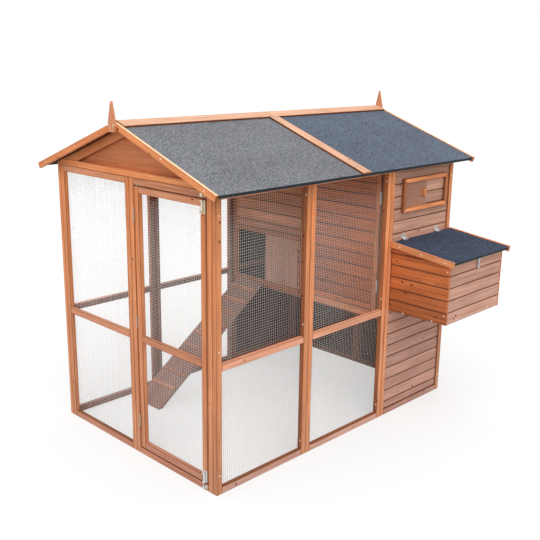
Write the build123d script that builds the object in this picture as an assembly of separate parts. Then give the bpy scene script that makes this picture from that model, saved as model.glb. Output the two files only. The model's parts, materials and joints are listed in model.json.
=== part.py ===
from build123d import *
from math import ceil, cos, floor, radians, sin, tan
import os

# Chicken coop with run. All sizes are millimetres.
# House frame: x runs across the front from the left wall, y from the front to the rear, z up from the ground.

# Walls and frames
house_width = 1210.0
front_run_length = 592.0
rear_run_length = 614.0
coop_length = 573.0
wall_height = 1380.0
timber_width = 32.0
side_thickness = 25.0
front_thickness = 22.0
mid_rail_height = 592.0
fixed_front_width = 586.0
door_lift = 5.0

# Welded mesh on the inside of the frames
mesh_pitch = 114.3
mesh_bar = 3.0
mesh_thickness = 1.6
mesh_lap = 20.0
mesh_clearance = 2.0

# Tongue and groove boards
board_pitch = 65.5
board_thickness = 12.0
board_recess = 8.0
rear_board_recess = 5.0
board_chamfer = 3.0
tongue_thickness = 4.0
tongue_height = 5.0
tongue_clearance = 0.4
least_course = 25.0

# Coop walls, floor and perch
sill_height = 598.0
header_height = 926.0
floor_thickness = 12.0
bearer_depth = 32.0
floor_clearance = 2.0
perch_size = 32.0
perch_setback = 272.0
perch_round = 8.0

# Partition with pop door and cleaning door
partition_foot = 550.0
partition_rail = 42.0
partition_recess = 4.0
fixed_partition_width = 597.0
pop_hole_width = 259.0
pop_hole_rows = 5
pop_door_thickness = 6.0
pop_door_lap = 2.0
track_thickness = 15.0
track_width = 28.0
track_lip = 10.0
cleaning_door_gap = 4.0
gable_ply = 9.0

# Ramp
ramp_angle = 36.0
ramp_width = 208.0
ramp_shift = 17.0
ramp_thickness = 15.0
ramp_end_gap = 3.0
cleat_spacing = 97.0
cleat_width = 20.0
cleat_thickness = 9.0
cleat_first = 75.0
cleat_inset = 8.0

# Roof
roof_slope = 20.0
deck_rise = 12.0
deck_thickness = 12.5
felt_thickness = 2.5
eave_overhang = 64.0
front_overhang = 52.0
rear_overhang = 74.0
roof_joint = 890.0
ridge_width = 56.0
ridge_thickness = 9.0
joint_batten_width = 67.0
joint_batten_shift = 7.0
joint_batten_end = 6.0
joint_rafter_depth = 30.0
joint_rafter_gap = 5.0
barge_height = 30.0
barge_drop = 11.0
barge_thickness = 15.0
barge_end = 4.0
gable_rafter_depth = 45.0
gable_panel_thickness = 5.0
gable_panel_inset = 4.0
finial_thickness = 16.0
finial_rise = 90.0
finial_shoulder = 20.0
finial_half_width = 27.0
finial_foot = 47.0
finial_foot_half_width = 19.0

# Nest box
nest_depth = 350.0
nest_width = 518.0
nest_setback = 34.0
nest_bottom = 606.0
nest_board_pitch = 64.0
nest_floor_thickness = 12.0
divider_height = 240.0
lid_above_header = 28.0
lid_slope = 7.0
lid_front_overhang = 30.0
lid_side_gap = 8.0
lid_back_gap = 8.0
lid_thickness = 9.0
lid_clearance = 0.3
lid_barge_thickness = 14.0
lid_barge_drop = 14.0
lid_barge_rise = 4.0

# Vent window
window_setback = 102.0
window_width = 413.0
window_bar = 24.0
window_bar_thickness = 8.0
window_spacer = 7.0
window_channel = 8.0
window_rows = 2
window_rows_above = 1
window_hole_inset = 20.0
window_hole_width = 155.0
shutter_width = 202.0
shutter_thickness = 6.0
shutter_play = 0.4
knob_height = 46.0
knob_width = 18.0
knob_depth = 15.0
knob_chamfer = 3.0
knob_from_edge = 27.0

# How far a cutting tool runs past the faces it cuts, and the flats on small round hardware
cut_margin = 1.0
round_sides = 12
pin_sides = 8

# Butt hinges
knuckle_radius = 4.0
hinge_pin_radius = 2.0
hinge_pin_fit = 0.05
leaf_thickness = 1.5
leaf_width = 20.0
hinge_play = 0.3
door_hinge_height = 66.0
door_hinge_centres = (177.0, 690.0, 1210.0)
cleaning_hinge_centres = (733.0, 1210.0)
small_hinge_height = 36.0
lid_hinge_inset = 104.0
ramp_hinge_inset = 42.0

# Tower bolts on the run door
bolt_plate_width = 28.0
bolt_plate_height = 58.0
bolt_plate_thickness = 1.5
bolt_radius = 4.0
bolt_play = 0.3
keep_play = 1.0
bolt_length = 56.0
bolt_edge_gap = 3.0
bolt_guide_width = 14.0
bolt_guide_height = 7.0
bolt_wall = 2.5
bolt_knob_radius = 3.0
bolt_knob_length = 14.0
keep_height = 14.0
keep_from_gap = 8.0

# Hasp under the front of the nest box lid
strap_width = 16.0
strap_length = 62.0
strap_thickness = 1.5
strap_slot_width = 6.0
strap_slot_height = 22.0
strap_slot_end = 8.0
hasp_knuckle_radius = 2.5
hasp_pin_radius = 1.2
hasp_stand_off = 12.0
hasp_leaf_length = 16.0
staple_reach = 9.5
staple_height = 14.0
staple_thickness = 3.0
staple_eye_radius = 3.2

# Places worked out from the sizes above
house_length = front_run_length + rear_run_length + coop_length
partition_front = front_run_length + rear_run_length
partition_back = partition_front + front_thickness
inner_left = side_thickness
inner_right = house_width - side_thickness
rear_inside = house_length - front_thickness
top_rail_bottom = wall_height - timber_width
coop_left = partition_front + timber_width
coop_right = house_length - timber_width
sill_top = sill_height + timber_width
header_top = header_height + timber_width
cladding_outer = house_width - board_recess
cladding_inner = cladding_outer - board_thickness

surround_left = inner_left + fixed_front_width
hinge_gap = 2 * knuckle_radius
door_left = surround_left + timber_width + hinge_gap
door_right = inner_right - timber_width - hinge_gap
door_bottom = timber_width + door_lift
door_top = top_rail_bottom - door_lift

partition_rail_top = partition_foot + partition_rail
fixed_partition_right = inner_left + fixed_partition_width
pop_hole_left = inner_left + timber_width
pop_hole_right = pop_hole_left + pop_hole_width
track_front = partition_front - track_thickness
cleaning_left = fixed_partition_right + cleaning_door_gap
cleaning_right = inner_right - timber_width - hinge_gap
cleaning_top = top_rail_bottom - cleaning_door_gap
floor_top = partition_rail_top
floor_bottom = floor_top - floor_thickness

pitch_of_roof = tan(radians(roof_slope))
ridge_x = house_width / 2
deck_at_wall = wall_height + deck_rise
ridge_z = deck_at_wall + ridge_x * pitch_of_roof
felt_top = deck_thickness + felt_thickness
eave_end = (ridge_x + eave_overhang) / cos(radians(roof_slope))
deck_front = -front_overhang
deck_rear = house_length + rear_overhang
barge_front = deck_front - barge_thickness
barge_rear = deck_rear + barge_thickness
barge_top = barge_height - barge_drop
finial_front = barge_front - finial_thickness
finial_rear = barge_rear + finial_thickness

nest_left = partition_front + nest_setback
nest_right = nest_left + nest_width
nest_front = house_width + nest_depth
lid_hinge_x = cladding_outer + knuckle_radius
lid_hinge_z = header_top + lid_above_header + knuckle_radius
lid_under = -(knuckle_radius + felt_thickness + lid_thickness)
lid_start = house_width - lid_hinge_x + lid_back_gap
lid_end = (nest_front + lid_front_overhang - lid_hinge_x) / cos(radians(lid_slope))
lid_left = nest_left - lid_side_gap
lid_right = nest_right + lid_side_gap

ramp_hinge_y = track_front - knuckle_radius
ramp_hinge_z = partition_rail_top + knuckle_radius
ramp_top = -knuckle_radius
ramp_under = ramp_top - ramp_thickness
ramp_left = (pop_hole_left + pop_hole_right - ramp_width) / 2 + ramp_shift
ramp_right = ramp_left + ramp_width

bolt_x = door_right - bolt_plate_width / 2
bolt_y = -(bolt_plate_thickness + bolt_radius + bolt_play)


def on_slope(slope, along, above):
    """How far out and up a point lies, given its way down a slope and its height square to the slope."""
    angle = radians(slope)
    return along * cos(angle) + above * sin(angle), above * cos(angle) - along * sin(angle)


def on_roof(along, above):
    """Point across the right slope, measured from the ridge on the deck's underside."""
    out, up = on_slope(roof_slope, along, above)
    return ridge_x + out, ridge_z + up


def on_lid(along, above):
    """Point across the nest lid, measured from its hinge pin."""
    out, up = on_slope(lid_slope, along, above)
    return lid_hinge_x + out, lid_hinge_z + up


def on_ramp(along, above):
    """Point in the ramp's side view, measured from its hinge pin."""
    out, up = on_slope(ramp_angle, along, above)
    return ramp_hinge_y - out, ramp_hinge_z + up


# The origin is the middle of the whole outline, on the ground.
felt_edge = eave_end + felt_thickness
batten_tip = on_roof(felt_edge + joint_batten_end, felt_top + ridge_thickness)[0]
barge_tip = on_roof(felt_edge + barge_end, barge_top)[0]
lid_felt_top = -knuckle_radius
lid_felt_end = lid_end + felt_thickness
lid_tip = on_lid(lid_felt_end, lid_felt_top + lid_barge_rise)[0]
left_tip = house_width - max(batten_tip, barge_tip)
origin_x = (left_tip + max(lid_tip, batten_tip, barge_tip)) / 2
origin_y = (finial_front + finial_rear) / 2


def block(across, along, height):
    """Box between low and high limits on x, y and z."""
    size = [limits[1] - limits[0] for limits in (across, along, height)]
    corner = Pos(across[0], along[0], height[0])
    return corner * Box(*size, align=(Align.MIN, Align.MIN, Align.MIN))


def prism_y(outline, y_start, y_end):
    """An x-z outline carried along y."""
    plane = Plane(origin=(0, y_end, 0), x_dir=(1, 0, 0), z_dir=(0, -1, 0))
    return extrude(plane * make_face(Polyline(*outline, close=True)), y_end - y_start)


def prism_x(outline, x_start, x_end):
    """A y-z outline carried along x."""
    plane = Plane(origin=(x_start, 0, 0), x_dir=(0, 1, 0), z_dir=(1, 0, 0))
    return extrude(plane * make_face(Polyline(*outline, close=True)), x_end - x_start)


def mirrored(shapes):
    """The same pieces on the other side of the house."""
    return [shape.mirror(Plane.YZ.offset(ridge_x)) for shape in shapes]


def save(name, shapes):
    """Write one node with its pieces as separate solids."""
    placed = [Pos(-origin_x, -origin_y, 0) * shape for shape in shapes]
    solids = [solid for shape in placed for solid in shape.solids()]
    export_step(Compound(solids), os.path.join("parts", name + ".step"))


def deck_height(x):
    """Underside of the roof deck above a place across the house."""
    return deck_at_wall + min(x, house_width - x) * pitch_of_roof


def roof_strip(low, high, end, start=None):
    """Outline of a layer on the right slope, plumb at the ridge unless it starts further down."""
    upper = [-high * pitch_of_roof, -low * pitch_of_roof] if start is None else [start, start]
    return [on_roof(upper[1], low), on_roof(upper[0], high), on_roof(end, high), on_roof(end, low)]


def course_edges(bottom, top, datum, pitch):
    """Heights of the joints between boards, with the end boards ripped to fit."""
    first = ceil((bottom + least_course - datum) / pitch)
    last = floor((top - least_course - datum) / pitch)
    return [bottom] + [datum + number * pitch for number in range(first, last + 1)] + [top]


def board_outline(low, high, inner, outer, tongue, groove):
    """Section of one board, with its V edges on the outer face."""
    way = 1 if outer > inner else -1
    middle = (inner + outer) / 2
    shoulder = outer - way * board_chamfer
    points = [(inner, low)]
    if groove:
        half = way * (tongue_thickness / 2 + tongue_clearance)
        roof = low + tongue_height + tongue_clearance
        points += [(middle - half, low), (middle - half, roof), (middle + half, roof), (middle + half, low)]
    points += [(shoulder, low), (outer, low + board_chamfer)]
    points += [(outer, high - board_chamfer), (shoulder, high)]
    if tongue:
        half = way * tongue_thickness / 2
        tip = high + tongue_height
        points += [(middle + half, high), (middle + half, tip), (middle - half, tip), (middle - half, high)]
    return points + [(inner, high)]


def cladding(edges, span, inner, outer, run, hole=None):
    """Boards between two frame timbers, cut round a hole that is whole courses high."""
    boards = []
    for low, high in zip(edges, edges[1:]):
        cut = hole is not None and hole[1][0] <= low and high <= hole[1][1]
        under_hole = hole is not None and high == hole[1][0]
        over_hole = hole is not None and low == hole[1][1]
        tongue = high < edges[-1] and not under_hole
        groove = low > edges[0] and not over_hole
        outline = board_outline(low, high, inner, outer, tongue, groove)
        spans = [(span[0], hole[0][0]), (hole[0][1], span[1])] if cut else [span]
        boards += [run(outline, start, end) for start, end in spans if end > start]
    return boards


def front_frame(left, right, bottom, top, y_start, rails):
    """Two stiles with rails between them, in a wall that faces the front."""
    along = (y_start, y_start + front_thickness)
    sides = [(left, left + timber_width), (right - timber_width, right)]
    stiles = [block(side, along, (bottom, top)) for side in sides]
    return stiles + [block((left + timber_width, right - timber_width), along, rail) for rail in rails]


def rail_at(height):
    return (height, height + timber_width)


def side_frame(start, end, rail_heights):
    """Frame in the right wall, its top bevelled to the roof."""
    def to_roof(bottom):
        return [(inner_right, bottom), (house_width, bottom), (house_width, deck_at_wall),
                (inner_right, deck_height(inner_right))]
    span = (start + timber_width, end - timber_width)
    across = (inner_right, house_width)
    timbers = [prism_y(to_roof(0), start, span[0]), prism_y(to_roof(0), span[1], end)]
    timbers.append(prism_y(to_roof(top_rail_bottom), *span))
    return timbers + [block(across, span, rail_at(height)) for height in rail_heights]


def bar(radius, sides):
    """Section of a small round bar, with its corners at the radius."""
    return RegularPolygon(radius, sides)


def hole(radius, sides):
    """Section of a small round hole, with its flats at the radius."""
    return RegularPolygon(radius, sides, major_radius=False)


def net(plane, width, height):
    """Flat welded mesh with whole gaps, one holed sheet."""
    columns = max(1, round((width - mesh_bar) / mesh_pitch))
    rows = max(1, round((height - mesh_bar) / mesh_pitch))
    step_across = (width - mesh_bar) / columns
    step_up = (height - mesh_bar) / rows
    gap = Rectangle(step_across - mesh_bar, step_up - mesh_bar)
    sheet = Rectangle(width, height) - GridLocations(step_across, step_up, columns, rows) * gap
    return extrude(plane * sheet, mesh_thickness)


def front_net(left, right, bottom, top):
    """Mesh on the back of a front panel's timbers."""
    margin = timber_width - mesh_lap
    centre = ((left + right) / 2, front_thickness, (bottom + top) / 2)
    plane = Plane(origin=centre, x_dir=(1, 0, 0), z_dir=(0, 1, 0))
    return net(plane, right - left - 2 * margin, top - bottom - 2 * margin)


def side_net(start, end):
    """Mesh on the inside of a right run panel."""
    margin = timber_width - mesh_lap
    low, high = margin, wall_height - margin
    centre = (inner_right, (start + end) / 2, (low + high) / 2)
    plane = Plane(origin=centre, x_dir=(0, 1, 0), z_dir=(-1, 0, 0))
    return net(plane, end - start, high - low)


def hinge_parts(plane, height, fixed_way, moving_plane, moving_way):
    """Fixed leaf, moving leaf and pin of a butt hinge.

    Each plane starts on the pin at the hinge's lower end, with its z along the pin and its x along the leaf.
    The way says on which side of the pin the leaf's back lies.
    """
    third = height / 3
    fixed_spans = [(0, third - hinge_play / 2), (2 * third + hinge_play / 2, height)]
    moving_spans = [(third + hinge_play / 2, 2 * third - hinge_play / 2)]

    def length(section, low, high):
        return Pos(0, 0, low) * extrude(section, high - low)

    knuckle = bar(knuckle_radius, round_sides)
    knuckle_room = hole(knuckle_radius + hinge_play, round_sides)
    bore = length(hole(hinge_pin_radius + hinge_pin_fit, pin_sides), -cut_margin, height + cut_margin)

    def leaf(way, own, other):
        back = sorted((way * (knuckle_radius - leaf_thickness), way * knuckle_radius))
        plate = block((0, leaf_width), back, (0, height))
        for low, high in other:
            plate -= length(knuckle_room, low - hinge_play, high + hinge_play)
        for low, high in own:
            plate += length(knuckle, low, high)
        return plate - bore

    pin = length(Circle(hinge_pin_radius), 0, height)
    fixed = plane * leaf(fixed_way, fixed_spans, moving_spans)
    moving = moving_plane * leaf(moving_way, moving_spans, fixed_spans)
    return fixed, moving, plane * pin


def upright_hinge(x, y, centre, fixed_side):
    """Door hinge with both leaves in the gap; the fixed leaf is on the side given."""
    plane = Plane(origin=(x, y, centre - door_hinge_height / 2), x_dir=(0, 1, 0), z_dir=(0, 0, 1))
    return hinge_parts(plane, door_hinge_height, -fixed_side, plane, fixed_side)


os.makedirs("parts", exist_ok=True)
fixed_leaves = []
hinge_pins = []

# Front left panel, door surround and run door
front_rails = [rail_at(0), rail_at(mid_rail_height), rail_at(top_rail_bottom)]
save("front_panel_frame", front_frame(inner_left, surround_left, 0, wall_height, 0, front_rails))
save("front_panel_mesh", [front_net(inner_left, surround_left, 0, wall_height)])
surround_rails = [rail_at(0), rail_at(top_rail_bottom)]
save("door_surround", front_frame(surround_left, inner_right, 0, wall_height, 0, surround_rails))

door_rails = [rail_at(door_bottom), rail_at(mid_rail_height), rail_at(door_top - timber_width)]
save("run_door_frame", front_frame(door_left, door_right, door_bottom, door_top, 0, door_rails))
save("run_door_mesh", [front_net(door_left, door_right, door_bottom, door_top)])

run_door_hinges = [upright_hinge(door_left - knuckle_radius, -knuckle_radius, height, -1)
                   for height in door_hinge_centres]
save("run_door_leaves", [moving for fixed, moving, pin in run_door_hinges])
fixed_leaves += [fixed for fixed, moving, pin in run_door_hinges]
hinge_pins += [pin for fixed, moving, pin in run_door_hinges]


# Tower bolts: a plate with two guides, a rod with a knob, and a keep across the gap
def bolt_foot(low, high):
    """Flat plate on the door's or the surround's face."""
    across = (bolt_x - bolt_plate_width / 2, bolt_x + bolt_plate_width / 2)
    return block(across, (-bolt_plate_thickness, 0), (low, high))


def bolt_loop(low, high, opening):
    """Loop over the bolt rod, standing on its plate."""
    depth = (bolt_y - bolt_radius - bolt_play - bolt_wall, -bolt_plate_thickness)
    across = (bolt_x - bolt_guide_width / 2, bolt_x + bolt_guide_width / 2)
    cutter = Pos(bolt_x, bolt_y, low - cut_margin) * extrude(opening, high - low + 2 * cut_margin)
    return block(across, depth, (low, high)) - cutter


def bolt_plate(low):
    high = low + bolt_plate_height
    bore = hole(bolt_radius + bolt_play, round_sides)
    guides = bolt_loop(low, low + bolt_guide_height, bore) + bolt_loop(high - bolt_guide_height, high, bore)
    return bolt_foot(low, high) + guides


def bolt_rod(low, knob_z):
    rod = Pos(bolt_x, bolt_y, low) * extrude(bar(bolt_radius, round_sides), bolt_length)
    plane = Plane(origin=(bolt_x, bolt_y, knob_z), x_dir=(1, 0, 0), z_dir=(0, -1, 0))
    return rod + extrude(plane * bar(bolt_knob_radius, round_sides), bolt_knob_length)


def bolt_keep(low):
    """Square loop on the surround, a little wider than the rod."""
    high = low + keep_height
    reach = 2 * (bolt_radius + keep_play)
    return bolt_foot(low, high) + bolt_loop(low, high, Rectangle(reach, 2 * (bolt_radius + bolt_play)))


upper_plate_bottom = door_top - bolt_edge_gap - bolt_plate_height
lower_plate_bottom = door_bottom + bolt_edge_gap
knob_rest = bolt_guide_height + bolt_knob_radius + bolt_play
save("bolt_plates", [bolt_plate(upper_plate_bottom), bolt_plate(lower_plate_bottom)])
save("upper_bolt", [bolt_rod(door_top - bolt_edge_gap - bolt_length, upper_plate_bottom + knob_rest)])
save("lower_bolt", [bolt_rod(lower_plate_bottom, lower_plate_bottom + bolt_plate_height - knob_rest)])
save("bolt_keeps", [bolt_keep(top_rail_bottom + keep_from_gap),
                    bolt_keep(timber_width - keep_from_gap - keep_height)])

# Run panels on both sides, with their mesh
run_rails = [0, mid_rail_height]
right_front_panel = side_frame(0, front_run_length, run_rails)
right_rear_panel = side_frame(front_run_length, partition_front, run_rails)
save("right_front_run_panel", right_front_panel)
save("right_rear_run_panel", right_rear_panel)
save("left_front_run_panel", mirrored(right_front_panel))
save("left_rear_run_panel", mirrored(right_rear_panel))

mesh_margin = timber_width - mesh_lap
mesh_start = front_thickness + mesh_thickness + mesh_clearance
right_mesh = [side_net(mesh_start, front_run_length - mesh_margin),
              side_net(front_run_length + mesh_margin, partition_front - mesh_margin)]
save("right_run_mesh", right_mesh)
save("left_run_mesh", mirrored(right_mesh))

# Coop side walls: the right one has the vent window and the way into the nest box
right_coop_frame = side_frame(partition_front, house_length, [0, sill_height, header_height])
save("coop_right_frame", right_coop_frame)
save("coop_left_frame", mirrored(right_coop_frame))

upper_edges = course_edges(header_top, top_rail_bottom, top_rail_bottom, board_pitch)
middle_edges = course_edges(sill_top, header_height, header_height, board_pitch)
lower_edges = course_edges(timber_width, sill_height, sill_height, board_pitch)
coop_span = (coop_left, coop_right)
window_top = upper_edges[-1 - window_rows_above]
window_bottom = upper_edges[-1 - window_rows_above - window_rows]
window_left = partition_front + window_setback
window_right = window_left + window_width
hole_left = window_left + window_bar + window_hole_inset
window_hole = ((hole_left, hole_left + window_hole_width), (window_bottom, window_top))


def side_boards(edges, hole=None):
    """Boards of the right coop wall."""
    return cladding(edges, coop_span, cladding_inner, cladding_outer, prism_y, hole)


plain_lower = side_boards(lower_edges)
save("coop_right_boards", side_boards(upper_edges, window_hole) + plain_lower)
save("coop_left_boards", mirrored(side_boards(upper_edges) + side_boards(middle_edges) + plain_lower))

# Rear wall: two boarded panels side by side
rear_panels = [(inner_left, ridge_x), (ridge_x, inner_right)]
rear_rails = [rail_at(0), rail_at(sill_height), rail_at(top_rail_bottom)]
rear_outer = house_length - rear_board_recess
rear_frames = []
rear_boards = []
for left, right in rear_panels:
    rear_frames += front_frame(left, right, 0, wall_height, rear_inside, rear_rails)
    span = (left + timber_width, right - timber_width)
    for edges in (lower_edges, course_edges(sill_top, top_rail_bottom, top_rail_bottom, board_pitch)):
        rear_boards += cladding(edges, span, rear_outer - board_thickness, rear_outer, prism_x)
save("rear_wall_frames", rear_frames)
save("rear_wall_boards", rear_boards)

# Partition: fixed half with the pop hole, post for the cleaning door, head rail over both
partition_span = (partition_front, partition_back)
head_rail = block((inner_left, inner_right), partition_span, (top_rail_bottom, wall_height))
fixed_stiles = [block((left, left + timber_width), partition_span, (partition_foot, top_rail_bottom))
                for left in (inner_left, fixed_partition_right - timber_width, inner_right - timber_width)]
fixed_boards_span = (pop_hole_left, fixed_partition_right - timber_width)
foot_rail = block(fixed_boards_span, partition_span, (partition_foot, partition_rail_top))
save("partition_frame", [head_rail, foot_rail] + fixed_stiles)

partition_outer = partition_front + partition_recess
partition_inner = partition_outer + board_thickness
partition_edges = course_edges(partition_rail_top, top_rail_bottom, top_rail_bottom, board_pitch)
pop_hole_top = partition_edges[pop_hole_rows]
pop_hole = ((pop_hole_left, pop_hole_right), (partition_rail_top, pop_hole_top))
fixed_boards = cladding(partition_edges, fixed_boards_span, partition_inner, partition_outer, prism_x,
                        pop_hole)
save("partition_boards", fixed_boards)


def under_roof(left, right, bottom, drop):
    """Outline across the house that ends a little under the roof deck."""
    return [(left, bottom), (right, bottom), (right, deck_height(right) - drop), (ridge_x, ridge_z - drop),
            (left, deck_height(left) - drop)]


gable_outline = under_roof(inner_left, inner_right, wall_height, 0)
gable_start = (partition_front + partition_back - gable_ply) / 2
save("partition_gable_panel", [prism_y(gable_outline, gable_start, gable_start + gable_ply)])

# Pop door: a plywood slider between two rebated tracks, open to the right
door_slot = pop_door_thickness + 2 * hinge_play
slider_bottom = partition_rail_top - pop_door_lap
slider_top = pop_hole_top + track_lip - pop_door_lap
track_span = (pop_hole_left, fixed_partition_right - timber_width)
slot_depth = (partition_front - door_slot, partition_front)
lip_depth = (track_front, partition_front - door_slot)
track_bottom = slider_bottom - hinge_play - track_width + track_lip
track_top = slider_top + hinge_play + track_width - track_lip
save("pop_door_tracks", [
    block(track_span, slot_depth, (track_bottom, slider_bottom - hinge_play)),
    block(track_span, lip_depth, (track_bottom, slider_bottom + track_lip)),
    block(track_span, slot_depth, (slider_top + hinge_play, track_top)),
    block(track_span, lip_depth, (slider_top - track_lip, track_top)),
])
slider_depth = (partition_front - hinge_play - pop_door_thickness, partition_front - hinge_play)
slider_span = (pop_hole_right, pop_hole_right + pop_hole_width)
save("pop_door", [block(slider_span, slider_depth, (slider_bottom, slider_top))])

# Cleaning door: the other half of the partition, hung on the right wall's post
cleaning_rails = [(partition_foot, partition_rail_top), (cleaning_top - timber_width, cleaning_top)]
cleaning_frame = front_frame(cleaning_left, cleaning_right, partition_foot, cleaning_top, partition_front,
                             cleaning_rails)
save("coop_door_frame", cleaning_frame)
cleaning_edges = course_edges(partition_rail_top, cleaning_top - timber_width, top_rail_bottom, board_pitch)
cleaning_span = (cleaning_left + timber_width, cleaning_right - timber_width)
save("coop_door_boards", cladding(cleaning_edges, cleaning_span, partition_inner, partition_outer, prism_x))
cleaning_pin = (cleaning_right + knuckle_radius, partition_front - knuckle_radius)
cleaning_hinges = [upright_hinge(*cleaning_pin, height, 1) for height in cleaning_hinge_centres]
save("coop_door_leaves", [moving for fixed, moving, pin in cleaning_hinges])
fixed_leaves += [fixed for fixed, moving, pin in cleaning_hinges]
hinge_pins += [pin for fixed, moving, pin in cleaning_hinges]

# Coop floor on three bearers, and the perch between the header rails
floor_start = partition_back + floor_clearance
save("coop_floor", [block((inner_left, inner_right), (floor_start, rear_inside), (floor_bottom, floor_top))])
bearer_height = (floor_bottom - bearer_depth, floor_bottom)
bearer_lefts = (inner_left, ridge_x - timber_width / 2, inner_right - timber_width)
save("floor_bearers", [block((left, left + timber_width), (floor_start, rear_inside), bearer_height)
                       for left in bearer_lefts])
perch_start = partition_back + perch_setback
perch = block((inner_left, inner_right), (perch_start, perch_start + perch_size),
              (header_height, header_height + perch_size))
perch_top = perch.edges().filter_by(Axis.X).sort_by(Axis.Z)[-2:]
save("perch", [chamfer(perch_top, perch_round)])

# Ramp: a board with cross cleats, hung on two hinges under the pop hole
ramp_cos = cos(radians(ramp_angle))
ramp_sin = sin(radians(ramp_angle))


def ramp_foot(above):
    """How far down the slope the ground is, for a line parallel to the ramp."""
    return (ramp_hinge_z + above * ramp_cos) / ramp_sin


ramp_start = -ramp_under * ramp_sin / ramp_cos + ramp_end_gap
ramp_outline = [on_ramp(ramp_start, ramp_top), on_ramp(ramp_foot(ramp_top), ramp_top),
                on_ramp(ramp_foot(ramp_under), ramp_under), on_ramp(ramp_start, ramp_under)]
save("ramp_board", [prism_x(ramp_outline, ramp_left, ramp_right)])
cleats = []
cleat_count = floor((ramp_foot(ramp_under) - cleat_first - cleat_spacing / 2) / cleat_spacing) + 1
for number in range(cleat_count):
    upper = cleat_first + number * cleat_spacing
    lower = upper + cleat_width
    outline = [on_ramp(upper, ramp_top), on_ramp(upper, ramp_top + cleat_thickness),
               on_ramp(lower, ramp_top + cleat_thickness), on_ramp(lower, ramp_top)]
    cleats.append(prism_x(outline, ramp_left + cleat_inset, ramp_right - cleat_inset))
save("ramp_cleats", cleats)

ramp_hinges = []
for middle in (ramp_left + ramp_hinge_inset, ramp_right - ramp_hinge_inset):
    start = (middle - small_hinge_height / 2, ramp_hinge_y, ramp_hinge_z)
    fixed_plane = Plane(origin=start, x_dir=(0, 0, -1), z_dir=(1, 0, 0))
    moving_plane = Plane(origin=start, x_dir=(0, -ramp_cos, -ramp_sin), z_dir=(1, 0, 0))
    ramp_hinges.append(hinge_parts(fixed_plane, small_hinge_height, 1, moving_plane, 1))
save("ramp_leaves", [moving for fixed, moving, pin in ramp_hinges])
fixed_leaves += [fixed for fixed, moving, pin in ramp_hinges]
hinge_pins += [pin for fixed, moving, pin in ramp_hinges]

# Gables: a rail between the side walls, two rafters on it and a plywood panel behind
gable_rail_top = wall_height + timber_width


def gable_frame(y_start):
    span = (y_start, y_start + front_thickness)
    rail = block((inner_left, inner_right), span, rail_at(wall_height)) & prism_y(gable_outline, *span)
    band = roof_strip(-gable_rafter_depth, 0, eave_end)
    below_rail = block((-house_width, 2 * house_width), span, (0, gable_rail_top))
    rafter = (prism_y(band, *span) - below_rail) & prism_y(gable_outline, *span)
    return [rail, rafter] + mirrored([rafter])


panel_outline = under_roof(inner_left + gable_panel_inset, inner_right - gable_panel_inset,
                           wall_height + gable_panel_inset, gable_panel_inset)
save("front_gable_frame", gable_frame(0))
save("front_gable_panel", [prism_y(panel_outline, front_thickness, front_thickness + gable_panel_thickness)])
save("rear_gable_frame", gable_frame(rear_inside))
save("rear_gable_panel", [prism_y(panel_outline, rear_inside - gable_panel_thickness, rear_inside)])

# Roof: a deck in two lengths on each slope, each with a rafter at the joint, felt, battens and ridge boards
roof_lengths = [(deck_front, roof_joint), (roof_joint, deck_rear)]
deck_outline = roof_strip(0, deck_thickness, eave_end)
felt_lip = [on_roof(felt_edge, 0), on_roof(eave_end, 0), on_roof(eave_end, deck_thickness)]
felt_outline = roof_strip(deck_thickness, felt_top, felt_edge)[:3] + felt_lip
rafter_end = (ridge_x - side_thickness - joint_rafter_gap) / cos(radians(roof_slope))
rafter_outline = roof_strip(-joint_rafter_depth, 0, rafter_end)
right_decks = [prism_y(deck_outline, start, end) for start, end in roof_lengths]
right_decks += [prism_y(rafter_outline, roof_joint - front_thickness, roof_joint),
                prism_y(rafter_outline, roof_joint, roof_joint + front_thickness)]
right_felt = [prism_y(felt_outline, start, end) for start, end in roof_lengths]
ridge_outline = roof_strip(felt_top, felt_top + ridge_thickness, ridge_width)
right_ridge = [prism_y(ridge_outline, start, end) for start, end in roof_lengths]
batten_outline = roof_strip(felt_top, felt_top + ridge_thickness, felt_edge + joint_batten_end, ridge_width)
batten_middle = roof_joint + joint_batten_shift
batten_span = (batten_middle - joint_batten_width / 2, batten_middle + joint_batten_width / 2)
right_batten = [prism_y(batten_outline, *batten_span)]
save("roof_decks", right_decks + mirrored(right_decks))
save("roof_felt", right_felt + mirrored(right_felt))
save("ridge_boards", right_ridge + mirrored(right_ridge))
save("roof_joint_battens", right_batten + mirrored(right_batten))

barge_outline = roof_strip(-barge_drop, barge_top, felt_edge + barge_end)
barge_spans = [(barge_front, deck_front), (deck_rear, barge_rear)]
right_barges = [prism_y(barge_outline, *span) for span in barge_spans]
save("barge_boards", right_barges + mirrored(right_barges))

ridge_peak = ridge_z + barge_top / cos(radians(roof_slope))
finial_outline = [(ridge_x, ridge_peak + finial_rise),
                  (ridge_x + finial_half_width, ridge_peak - finial_shoulder),
                  (ridge_x + finial_foot_half_width, ridge_peak - finial_foot),
                  (ridge_x - finial_foot_half_width, ridge_peak - finial_foot),
                  (ridge_x - finial_half_width, ridge_peak - finial_shoulder)]
finial_spans = [(finial_front, barge_front), (barge_rear, finial_rear)]
save("finials", [prism_y(finial_outline, *span) for span in finial_spans])

# Nest box: boards under a sloping lid
lid_cos = cos(radians(lid_slope))
lid_sin = sin(radians(lid_slope))


def lid_strip(low, high, start, end):
    return [on_lid(start, low), on_lid(start, high), on_lid(end, high), on_lid(end, low)]


def box_top(x):
    """Top of the nest box just under the closed lid."""
    return lid_hinge_z - (x - lid_hinge_x) * lid_sin / lid_cos + (lid_under - lid_clearance) / lid_cos


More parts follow.
